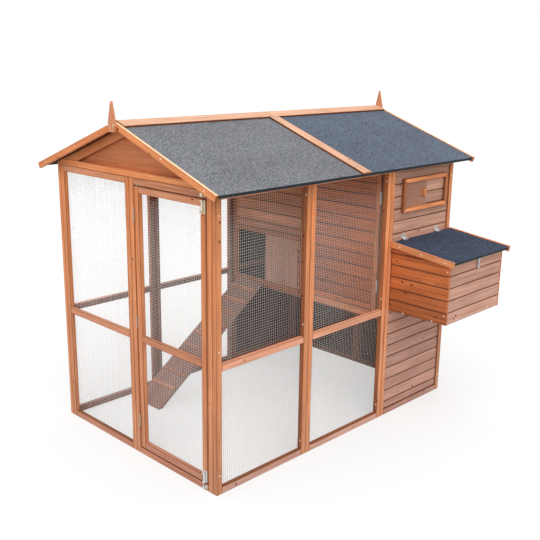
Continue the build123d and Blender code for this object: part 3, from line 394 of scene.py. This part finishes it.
# Local frame of a solid: along its longest edge, across along the longest edge square to that, and through.
# Edges between triangles of one flat face don't count; the limits are cosines.
edgeLimits = {"flat": 0.999, "square": 0.05, "spareWay": (0.3, 0.5, 0.8)}


def axesOf(points, triangles):
    pairs = np.concatenate([triangles[:, [0, 1]], triangles[:, [1, 2]], triangles[:, [2, 0]]])
    runs = points[pairs[:, 1]] - points[pairs[:, 0]]
    lengths = np.linalg.norm(runs, axis=1)
    runs = unit(runs)
    normals = unit(faceNormals(points, triangles))
    key = np.sort(pairs, axis=1)
    order = np.lexsort((key[:, 1], key[:, 0]))
    owners = np.concatenate([np.arange(len(normals))] * 3)[order]
    key, runs, lengths = key[order], runs[order], lengths[order]
    same = np.nonzero(np.all(key[1:] == key[:-1], axis=1))[0]
    bend = np.sum(normals[owners[same]] * normals[owners[same + 1]], axis=1) < edgeLimits["flat"]
    real = same[bend] if bend.any() else np.arange(len(runs))
    first = runs[real[np.argmax(lengths[real])]]
    square = real[np.abs(runs[real] @ first) < edgeLimits["square"]]
    if len(square):
        second = runs[square[np.argmax(lengths[square])]]
    else:
        second = np.cross(first, edgeLimits["spareWay"])
    second = unit(second - first * (second @ first))
    return np.array([first, second, np.cross(first, second)])


def settle(piece, node):  # a piece that stands for a CAD node
    bpy.context.collection.objects.link(piece)
    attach(piece, bodyOf[node])
    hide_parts(node)


# Widths of eased edges in metres; from which angle an edge is eased, in degrees, and in how many steps; faces
# that meet within flat radians are one face
easing = {"timber": 0.0018, "roof": 0.0016, "small": 0.0012, "sheet": 0.0004, "from": 25, "steps": 2,
          "flat": 0.01}

# Where a timber may lie in its log: metres along it, and beside and in front of the pith
cutFromLog = {"along": (0, 9), "beside": (-0.09, 0.09), "before": (0.03, 0.1)}


# A CAD node's solids as one dressed piece: flat faces rejoined, edges eased, grain coordinates on timbers.
# finishes are materials by the name that pick gives a face, from its solid's axes, size and middle and its
# own normal; one named arris goes on the eased edges, which else look like the faces beside.
def dress(node, finishes, ease, pick):
    seed = np.random.default_rng(sum(node.encode()) * 7 + len(node))  # each node has draws of its own
    names = list(finishes)
    places, corners, numbers = [], [], []
    layers = {"grain": [], "place": [], "tone": []}
    count = 0
    for points, triangles in solidsOf(node):
        axes = axesOf(points, triangles)
        local = points @ axes.T
        low, high = local.min(axis=0), local.max(axis=0)
        middle = points.mean(axis=0)
        start = np.array([seed.uniform(*span) for span in cutFromLog.values()])
        layers["grain"].append(local - local.mean(axis=0) + start)
        layers["place"].append((2 * local - high - low) / (high - low))
        layers["tone"].append(np.full(len(points), seed.uniform(-1, 1)))
        for normal in unit(faceNormals(points, triangles)):
            numbers.append(names.index(pick(axes, high - low, middle, normal)))
        places.append(points)
        corners.append(triangles + count)
        count += len(points)
    data = bpy.data.meshes.new(node + "_dressed")
    data.from_pydata(np.concatenate(places).tolist(), [], np.concatenate(corners).tolist())
    data.polygons.foreach_set("material_index", numbers)
    for name, values in layers.items():
        kind, field = ("FLOAT", "value") if name == "tone" else ("FLOAT_VECTOR", "vector")
        layer = data.attributes.new(name=name, type=kind, domain="POINT")
        layer.data.foreach_set(field, np.concatenate(values).ravel())
    mesh = bmesh.new()
    mesh.from_mesh(data)
    bmesh.ops.dissolve_limit(mesh, angle_limit=easing["flat"], verts=mesh.verts, edges=mesh.edges,
                             delimit={"MATERIAL"})
    mesh.to_mesh(data)
    mesh.free()
    for material in finishes.values():
        data.materials.append(material)
    piece = bpy.data.objects.new(node + "_dressed", data)
    if ease:
        rounding = piece.modifiers.new("eased edges", "BEVEL")
        rounding.width = ease
        rounding.segments = easing["steps"]
        rounding.limit_method = "ANGLE"
        rounding.angle_limit = math.radians(easing["from"])
        # the arris material paints shade on the eased edges
        rounding.material = names.index("arris") if "arris" in names else -1
    settle(piece, node)


def jointPlace(name):
    return next(joint["pos_m"] for joint in record["behaviour"]["joints"] if joint["name"] == name)


# Faces are sorted by cosines between their normal and a direction, and by distances in metres
sorting = {"end": 0.9, "across": 0.9, "top": 0.8, "sheetFace": 0.7, "turned": 0.5, "grooveSide": (0.3, 0.95),
           "inward": 0.01, "footHeight": 0.02, "cornerDepth": 0.03, "sheetWidth": 0.06, "boltSplit": 0.7,
           "doorHingeDepth": 0.06, "rampHingeReach": 0.03}
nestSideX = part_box("coop_right_frame")[1][0]  # boards beyond the wall that run across it are nest box sides
ridgeX = (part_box("finials")[0][0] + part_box("finials")[1][0]) / 2
houseFront, houseRear = houseCorner.y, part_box("rear_wall_frames")[1][1]
rampHinge = jointPlace("ramp_hinge")


def plainFace(axes, size, middle, normal):
    return "face"


def sawnFace(axes, size, middle, normal):  # an end is square to the grain
    return "end" if abs(normal @ axes[0]) > sorting["end"] else "face"


# Sawn sides of the roof timbers take the arris material, a painted shade
def roofFace(axes, size, middle, normal):  # sawn sides are as dark as the arrises
    found = sawnFace(axes, size, middle, normal)
    return "arris" if found == "face" and normal[2] <= sorting["top"] else found


# Barge boards' top faces take the painted highlight
def bargeFace(axes, size, middle, normal):
    found = sawnFace(axes, size, middle, normal)
    return "top" if found == "face" and normal[2] > sorting["top"] else found


def windowFace(axes, size, middle, normal):  # upright members and downward faces drawn darker, in painted shade
    return "dark" if abs(axes[0][2]) > sorting["turned"] or normal[2] < -sorting["turned"] else "face"


def boardFace(axes, size, middle, normal):
    # groove faces take the painted-shade groove material
    least, most = sorting["grooveSide"]
    if least < abs(normal @ axes[2]) < most:
        return "groove"
    if middle[0] > nestSideX and abs(axes[0][0]) > sorting["across"]:
        return "nestSide"
    # faces turned inward take the painted-shade inner boarding
    towardMiddle = normal[0] * (ridgeX - middle[0]) - normal[1] * middle[1]
    return "inside" if towardMiddle > sorting["inward"] else "face"


def plyFace(axes, size, middle, normal):  # a narrow solid among the sheets is of solid wood
    return "sheet" if size[1] > sorting["sheetWidth"] else "solid"


def lidFeltFace(axes, size, middle, normal):
    return "edge" if abs(normal @ axes[2]) < sorting["sheetFace"] else "sheet"


def roofFeltFace(axes, size, middle, normal):  # the rear length is another roll
    found = lidFeltFace(axes, size, middle, normal)
    return "rearSheet" if found == "sheet" and middle[1] > 0 else found


def boltFace(axes, size, middle, normal):
    return "upper" if middle[2] > sorting["boltSplit"] else "lower"


def leafFace(axes, size, middle, normal):
    if middle[1] < houseFront + sorting["doorHingeDepth"]:
        return "door"
    return "ramp" if abs(middle[1:] - rampHinge[1:]).max() < sorting["rampHingeReach"] else "other"


def wallFace(axes, middle, normal, outward):  # outward is the way that the wall faces
    turned = sorting["turned"]
    onGround = middle[2] < sorting["footHeight"]
    if abs(normal @ axes[0]) > sorting["end"]:
        return "end"
    # faces turned inward take the painted-shade inside timber
    if normal[:2] @ outward < -turned:
        return "inside"
    if onGround and normal[0] * outward[0] > turned:
        return "foot"
    atFront = normal[1] < -turned and middle[1] < houseFront + sorting["cornerDepth"]
    atRear = normal[1] > turned and middle[1] > houseRear - sorting["cornerDepth"]
    sunny = max(normal[:2] @ outward, normal[0], normal[2]) > turned  # out, to the right or up
    # faces not at the front or rear that are low or turned from the light take the painted-shade reveal
    if not (atFront or atRear) and (onGround or not sunny):
        return "reveal"
    return "rail" if abs(axes[0][2]) < turned else "upright"


facing = {"front_panel_frame": (0, -1), "door_surround": (0, -1), "run_door_frame": (0, -1),
          "front_gable_frame": (0, -1), "rear_wall_frames": (0, 1), "rear_gable_frame": (0, 1)}
for name, way in (("right", 1), ("left", -1)):
    for panel in (name + "_front_run_panel", name + "_rear_run_panel", "coop_" + name + "_frame"):
        facing[panel] = (way, 0)

# Timbers with a finish of their own: materials, width of the eased edges, and how the faces are sorted
shaded = ({"face": revealTimber}, easing["small"], plainFace)
onRoof = ({"face": roofTimber, "end": endGrain, "arris": darkArris}, easing["roof"], roofFace)
ownFinish = {
    "ramp_cleats": ({"face": cleatTimber}, easing["small"], plainFace),
    "partition_frame": shaded,
    "pop_door_tracks": shaded,
    "window_frame": ({"face": timber, "dark": revealTimber, "arris": darkArris}, easing["timber"],
                     windowFace),
    "ridge_boards": onRoof,
    "roof_joint_battens": onRoof,
    "finials": ({"face": frontRail, "end": endGrain, "arris": wallArris}, easing["small"], sawnFace),
    "barge_boards": ({"face": timber, "end": endGrain, "top": creamTimber}, easing["small"], bargeFace)}
# the partition's inner faces take the run's painted-shade boarding
innerSide = {"partition_boards": runBoarding, "coop_door_boards": orangeBoarding}
# roof decks and coop floor take the painted-shade inner boarding; the pop door, plywood with painted light
sheets = {"roof_decks": innerBoarding, "coop_floor": innerBoarding, "pop_door": paintedLightPly,
          "front_gable_panel": gablePly, "rear_gable_panel": gablePly, "partition_gable_panel": gablePly}
for node, slot in slotOf.items():
    if node in facing:
        outward = np.array(facing[node])
        # inside faces take painted shade; the run door's is the lighter reveal timber
        inside = revealTimber if node == "run_door_frame" else shadeTimber  # the door sees the sun when open
        rail = timber if "gable" in node else sideRail if outward[0] else frontRail
        dress(node, {"upright": timber, "end": endGrain, "arris": wallArris, "reveal": revealTimber,
                     "inside": inside, "foot": boarding, "rail": rail}, easing["timber"],
              lambda axes, size, middle, normal: wallFace(axes, middle, normal, outward))
    elif node in ownFinish:
        dress(node, *ownFinish[node])
    elif slot == "stained_timber":
        dress(node, {"face": timber, "end": endGrain, "arris": darkArris}, easing["timber"], sawnFace)
    elif slot == "cladding_board":
        dress(node, {"face": boarding, "nestSide": orangeBoarding, "groove": groove,
                     "inside": innerSide.get(node, innerBoarding)}, easing["sheet"], boardFace)
    elif slot == "plywood":
        dress(node, {"sheet": sheets.get(node, plywood), "solid": timber}, easing["sheet"], plyFace)
dress("roof_felt", {"sheet": frontFelt, "rearSheet": rearFelt, "edge": feltEdge}, 0, roofFeltFace)
dress("nest_lid_felt", {"sheet": lidFelt, "edge": feltEdge}, 0, lidFeltFace)

plates = {"ramp_leaves": dullSteel, "upper_bolt": boltZinc, "hasp_strap": haspZinc,
          "run_door_leaves": hingeZinc}
for node, slot in slotOf.items():
    if slot == "zinc_hardware" and node not in ("hinge_fixed_leaves", "bolt_plates", "bolt_keeps"):
        frame["nodes"][node].data.materials.clear()
        frame["nodes"][node].data.materials.append(plates.get(node, zinc))
for node in ("bolt_plates", "bolt_keeps"):  # the upper bolt's fittings are yellower
    dress(node, {"lower": zinc, "upper": boltZinc}, 0, boltFace)
dress("hinge_fixed_leaves", {"other": zinc, "ramp": dullSteel, "door": hingeZinc}, 0, leafFace)
print("timbers, boards, felt and hinges dressed")


# Unit circles square to each run, as corners: corner k of n is cos(k tau / n) u + sin(k tau / n) v, with u
# and v square to the run and to each other. u is square to a skew direction too, which no run has.
skewWay = (0.31, 0.53, 0.79)


def circlesRound(runs, sides):
    u = unit(np.cross(runs, skewWay))[:, None]
    v = np.cross(runs[:, None], u)
    turns = np.arange(sides)[None, :, None] * math.tau / sides
    return np.cos(turns) * u + np.sin(turns) * v


def bandsBetween(rings, sides):  # corner numbers of the four-sided faces from each ring to the next
    k = np.arange(sides)
    after = (k + 1) % sides
    band = np.stack([k, after, sides + after, sides + k], axis=1)
    return np.concatenate([band + ring * sides for ring in range(rings - 1)])


# Half inch welded mesh in place of each CAD net: upright wires in one layer, level wires in the next. A wire
# is a prism between a circle of its radius about its start and one about its end. layer is how far each layer
# lies from the net's middle, as a share of the radius, so that crossing wires are pressed into each other.
wireMesh = {"pitch": 0.0127, "radius": 0.00043, "weatherRadius": 0.00045, "layer": 0.8, "sides": 6}


def wires(starts, ends, radius, sides):
    ring = radius * circlesRound(unit(ends - starts), sides)
    points = np.concatenate([starts[:, None] + ring, ends[:, None] + ring], axis=1).reshape(-1, 3)
    first = np.arange(len(starts))[:, None] * 2 * sides
    k = np.arange(sides)
    faces = (first[:, None] + bandsBetween(2, sides)).reshape(-1, 4).tolist()
    faces += (first + k[::-1]).tolist() + (first + sides + k).tolist()
    return points, faces


for node, slot in slotOf.items():
    if slot != "galvanised_wire":
        continue
    weathered = node == "right_run_mesh"  # the weather side is duller, and its zinc rougher and thicker
    radius = wireMesh["weatherRadius" if weathered else "radius"]
    layer = wireMesh["layer"] * radius
    starts, ends = [], []
    for low, high in solidBoxes(node):
        thin = int(np.argmin(high - low))
        wide = 1 - thin
        for along, across, offset in ((2, wide, -layer), (wide, 2, layer)):
            count = int(round((high[across] - low[across]) / wireMesh["pitch"])) + 1
            start = np.zeros((count, 3))
            start[:, across] = np.linspace(low[across] + radius, high[across] - radius, count)
            start[:, thin] = (low[thin] + high[thin]) / 2 + offset
            start[:, along] = low[along]
            end = start.copy()
            end[:, along] = high[along]
            starts.append(start)
            ends.append(end)
    points, faces = wires(np.concatenate(starts), np.concatenate(ends), radius, wireMesh["sides"])
    data = bpy.data.meshes.new(node + "_wires")
    data.from_pydata(points.tolist(), [], faces)
    data.shade_smooth()
    data.materials.append(dullWire if weathered else wire)
    settle(bpy.data.objects.new(node + "_wires", data), node)
print("welded mesh")

# Screw heads: a low dome with a round recess. Its profile, as shares of radius and rise, is turned about the
# face's normal: each point but the last gives a circle, and the last is the recess's middle.
screwHead = {"radius": 0.0042, "rise": 0.0009, "sides": 12,
             "profile": ((1.0, -0.3), (0.94, 0.5), (0.62, 1.0), (0.4, 0.95), (0.32, 0.25), (0.0, 0.2))}


def screws(name, body, spots, scale=1.0):  # spots are pairs of a place on a face and that face's normal
    places = np.array([spot[0] for spot in spots], dtype=float)
    normals = unit(np.array([spot[1] for spot in spots], dtype=float))
    sides = screwHead["sides"]
    profile = np.array(screwHead["profile"]) * (screwHead["radius"] * scale, screwHead["rise"] * scale)
    circles = circlesRound(normals, sides)
    rings = (places[:, None, None] + profile[None, :-1, 0, None, None] * circles[:, None]
             + profile[None, :-1, 1, None, None] * normals[:, None, None])
    middles = places + profile[-1, 1] * normals
    points = np.concatenate([rings.reshape(len(places), -1, 3), middles[:, None]], axis=1)
    levels = len(profile) - 1
    first = np.arange(len(places))[:, None] * (levels * sides + 1)
    k = np.arange(sides)
    inner = (levels - 1) * sides
    recess = np.stack([inner + k, inner + (k + 1) % sides, np.full(sides, levels * sides)], axis=1)
    faces = (first[:, None] + bandsBetween(levels, sides)).reshape(-1, 4).tolist()
    faces += (first[:, None] + recess).reshape(-1, 3).tolist() + (first + k[::-1]).tolist()
    data = bpy.data.meshes.new(name)
    data.from_pydata(points.reshape(-1, 3).tolist(), [], faces)
    data.materials.append(screwZinc)
    piece = bpy.data.objects.new(name, data)
    bpy.context.collection.objects.link(piece)
    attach(piece, body)


# Heights up the walls, ways down the slopes and distances from edges and middles, in metres; slopes in
# degrees; smaller screws as shares of the usual size
fixing = {"cornerHeights": (0.094, 0.684, 1.282), "edgeHeights": (0.078, 0.684, 1.308), "stile": 0.032,
          "fromCorner": 0.016, "fromFace": 0.008, "fromRear": 0.011,
          "finialHeight": 1.617, "finialHalf": 0.0195,
          "bargeOut": (0.333, 0.608), "bargeTop": 1.6165, "roofSlope": 20.0,
          "lidOut": (0.061, 0.193, 0.332), "lidTop": 0.9755, "lidSlope": 7.0,
          "nestSide": ((0.089, 0.612), (0.267, 0.612), (0.335, 0.654), (0.339, 0.885)),
          "nestFront": (0.110, 0.407), "nestFrontHeight": 0.617,
          "leafOut": 0.013, "leafHalf": 0.011, "leafFace": 0.0025, "hingeInset": 0.104, "leafScale": 0.7,
          "boltHalf": 0.0105, "boltHeights": (0.008, 0.022, 0.036, 0.050), "keepHeight": 0.007,
          "plateThickness": 0.0015, "boltScale": 0.6}
frontAndRear = ((0, -1), (1, 1))  # corner of a box and way along Y
wallScrews = []
for side, name in ((1, "right"), (-1, "left")):
    front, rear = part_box(name + "_front_run_panel"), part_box(name + "_rear_run_panel")
    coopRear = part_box("coop_" + name + "_frame")[1][1]
    outer = front[1][0] if side > 0 else front[0][0]
    for height in fixing["cornerHeights"]:  # side panels into the front and the rear wall
        for along in (front[0][1] + fixing["fromCorner"], coopRear - fixing["fromRear"]):
            wallScrews.append(((outer, along, height), (side, 0, 0)))
    across = outer - side * fixing["fromFace"]
    for panel in (front, rear):  # panel to panel, through the stile's inner edge
        for height in fixing["edgeHeights"]:
            wallScrews.append(((across, panel[1][1] - fixing["stile"], height), (0, -1, 0)))

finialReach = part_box("finials")[1][1] - screwHead["rise"]
finialMesh = bpy.data.objects["finials_dressed"].data  # set back, so that heads stay inside the outline
finialPlaces = vertexPlaces(finialMesh)
finialPlaces[:, 1] = np.clip(finialPlaces[:, 1], -finialReach, finialReach)
finialMesh.vertices.foreach_set("co", finialPlaces.ravel())
finialMesh.update()
roofFall = math.tan(math.radians(fixing["roofSlope"]))
for end, way in frontAndRear:
    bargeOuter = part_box("barge_boards")[end][1]
    for side in (-1, 1):
        wallScrews.append(((ridgeX + side * fixing["finialHalf"], way * finialReach, fixing["finialHeight"]),
                           (0, way, 0)))
        for out in fixing["bargeOut"]:
            wallScrews.append(((ridgeX + side * out, bargeOuter, fixing["bargeTop"] - out * roofFall),
                               (0, way, 0)))

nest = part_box("nest_box_boards")
for end, way in frontAndRear:
    for out, height in fixing["nestSide"]:
        wallScrews.append(((nestSideX + out, nest[end][1], height), (0, way, 0)))
for along in fixing["nestFront"]:
    wallScrews.append(((nest[1][0], nest[0][1] + along, fixing["nestFrontHeight"]), (1, 0, 0)))
screws("wall_screws", "coop", wallScrews)

lidHinge = jointPlace("nest_lid_hinge")
lidAngle = math.radians(fixing["lidSlope"])
lidAlong = np.array([math.cos(lidAngle), 0, -math.sin(lidAngle)])
lidUp = np.array([math.sin(lidAngle), 0, math.cos(lidAngle)])
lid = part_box("nest_lid")
lidScrews = [((nestSideX + out, lid[end][1], fixing["lidTop"] - out * math.tan(lidAngle)), (0, way, 0))
             for end, way in frontAndRear for out in fixing["lidOut"]]
screws("lid_screws", "nest_lid", lidScrews)
leafScrews, plateScrews = [], []
for middle in (nest[0][1] + fixing["hingeInset"], nest[1][1] - fixing["hingeInset"]):
    for half in (-fixing["leafHalf"], fixing["leafHalf"]):
        pin = np.array([lidHinge[0], middle + half, lidHinge[2]])
        leafScrews.append((pin + fixing["leafOut"] * lidAlong - fixing["leafFace"] * lidUp, lidUp))
        plateScrews.append((pin + (-fixing["leafFace"], 0, fixing["leafOut"]), (1, 0, 0)))
screws("lid_leaf_screws", "nest_lid", leafScrews, fixing["leafScale"])


def boltFixings(node, heights):  # in two rows on the front of each bolt plate or keep
    halves = (-fixing["boltHalf"], fixing["boltHalf"])
    return [(((low[0] + high[0]) / 2 + half, high[1] - fixing["plateThickness"], low[2] + height), (0, -1, 0))
            for low, high in solidBoxes(node) for half in halves for height in heights]


plateScrews += boltFixings("bolt_keeps", (fixing["keepHeight"],))
screws("plate_screws", "coop", plateScrews, fixing["leafScale"])
screws("bolt_screws", "run_door", boltFixings("bolt_plates", fixing["boltHeights"]), fixing["boltScale"])
print("screws")

# Floor, light and white background: the camera sees the floor part lit, part glowing, so only shade shows on
# it. The floor's half width and its drop below the object are in metres.
studio = {"paper": 0.9, "bounce": 0.5, "glow": 1.02, "glowShare": 0.58, "half": 60, "drop": 0.0006,
          "ambient": 0.8}


def seenByCamera(tree):  # 1 for what the camera sees, also in metal or through glass
    ray = add(tree, "ShaderNodeLightPath", out="Is Camera Ray")
    mirrored = add(tree, "ShaderNodeMath", {0: ray.node.outputs["Is Glossy Ray"],
                                            1: ray.node.outputs["Is Transmission Ray"]}, operation="MAXIMUM")
    return add(tree, "ShaderNodeMath", {0: ray, 1: mirrored}, operation="MAXIMUM")


ground, groundTree = newMaterial("white studio floor")
bounce = add(groundTree, "ShaderNodeBsdfDiffuse", {"Color": (studio["bounce"],) * 3 + (1,)})
paper = add(groundTree, "ShaderNodeBsdfDiffuse", {"Color": (studio["paper"],) * 3 + (1,)})
glow = add(groundTree, "ShaderNodeEmission", {"Strength": studio["glow"]})
shown = add(groundTree, "ShaderNodeMixShader", {0: studio["glowShare"], 1: paper, 2: glow})
blend = add(groundTree, "ShaderNodeMixShader", {0: seenByCamera(groundTree), 1: bounce, 2: shown})
add(groundTree, "ShaderNodeOutputMaterial", {"Surface": blend})
floorData = bpy.data.meshes.new("floor")
floorCorners = [(x * studio["half"], y * studio["half"], -studio["drop"])
                for x, y in ((-1, -1), (1, -1), (1, 1), (-1, 1))]
floorData.from_pydata(floorCorners, [], [(0, 1, 2, 3)])
floorData.materials.append(ground)
floor = bpy.data.objects.new("floor", floorData)
bpy.context.collection.objects.link(floor)

world = bpy.data.worlds.new("studio")
bpy.context.scene.world = world
world.use_nodes = True
sky = world.node_tree
sky.nodes.clear()
soft = add(sky, "ShaderNodeBackground", {"Color": (1, 1, 1, 1), "Strength": studio["ambient"]})
plain = add(sky, "ShaderNodeBackground", {"Color": (1, 1, 1, 1), "Strength": 1})
both = add(sky, "ShaderNodeMixShader", {0: seenByCamera(sky), 1: soft, 2: plain})
add(sky, "ShaderNodeOutputWorld", {"Surface": both})

# Suns: the way from the object to the lamp, its strength, and its spread in degrees, wide for soft shade
suns = {"key": {"toward": (0.5, -0.46, 0.73), "strength": 1.35, "spread": 60},
        "top": {"toward": (0.05, -0.05, 1), "strength": 0.5, "spread": 80}}
for name, sun in suns.items():
    lamp = bpy.data.lights.new(name, "SUN")
    lamp.energy = sun["strength"]
    lamp.angle = math.radians(sun["spread"])
    item = bpy.data.objects.new(name, lamp)
    item.rotation_euler = (-Vector(sun["toward"])).to_track_quat("-Z", "Y").to_euler()
    bpy.context.collection.objects.link(item)
print("stage and light")
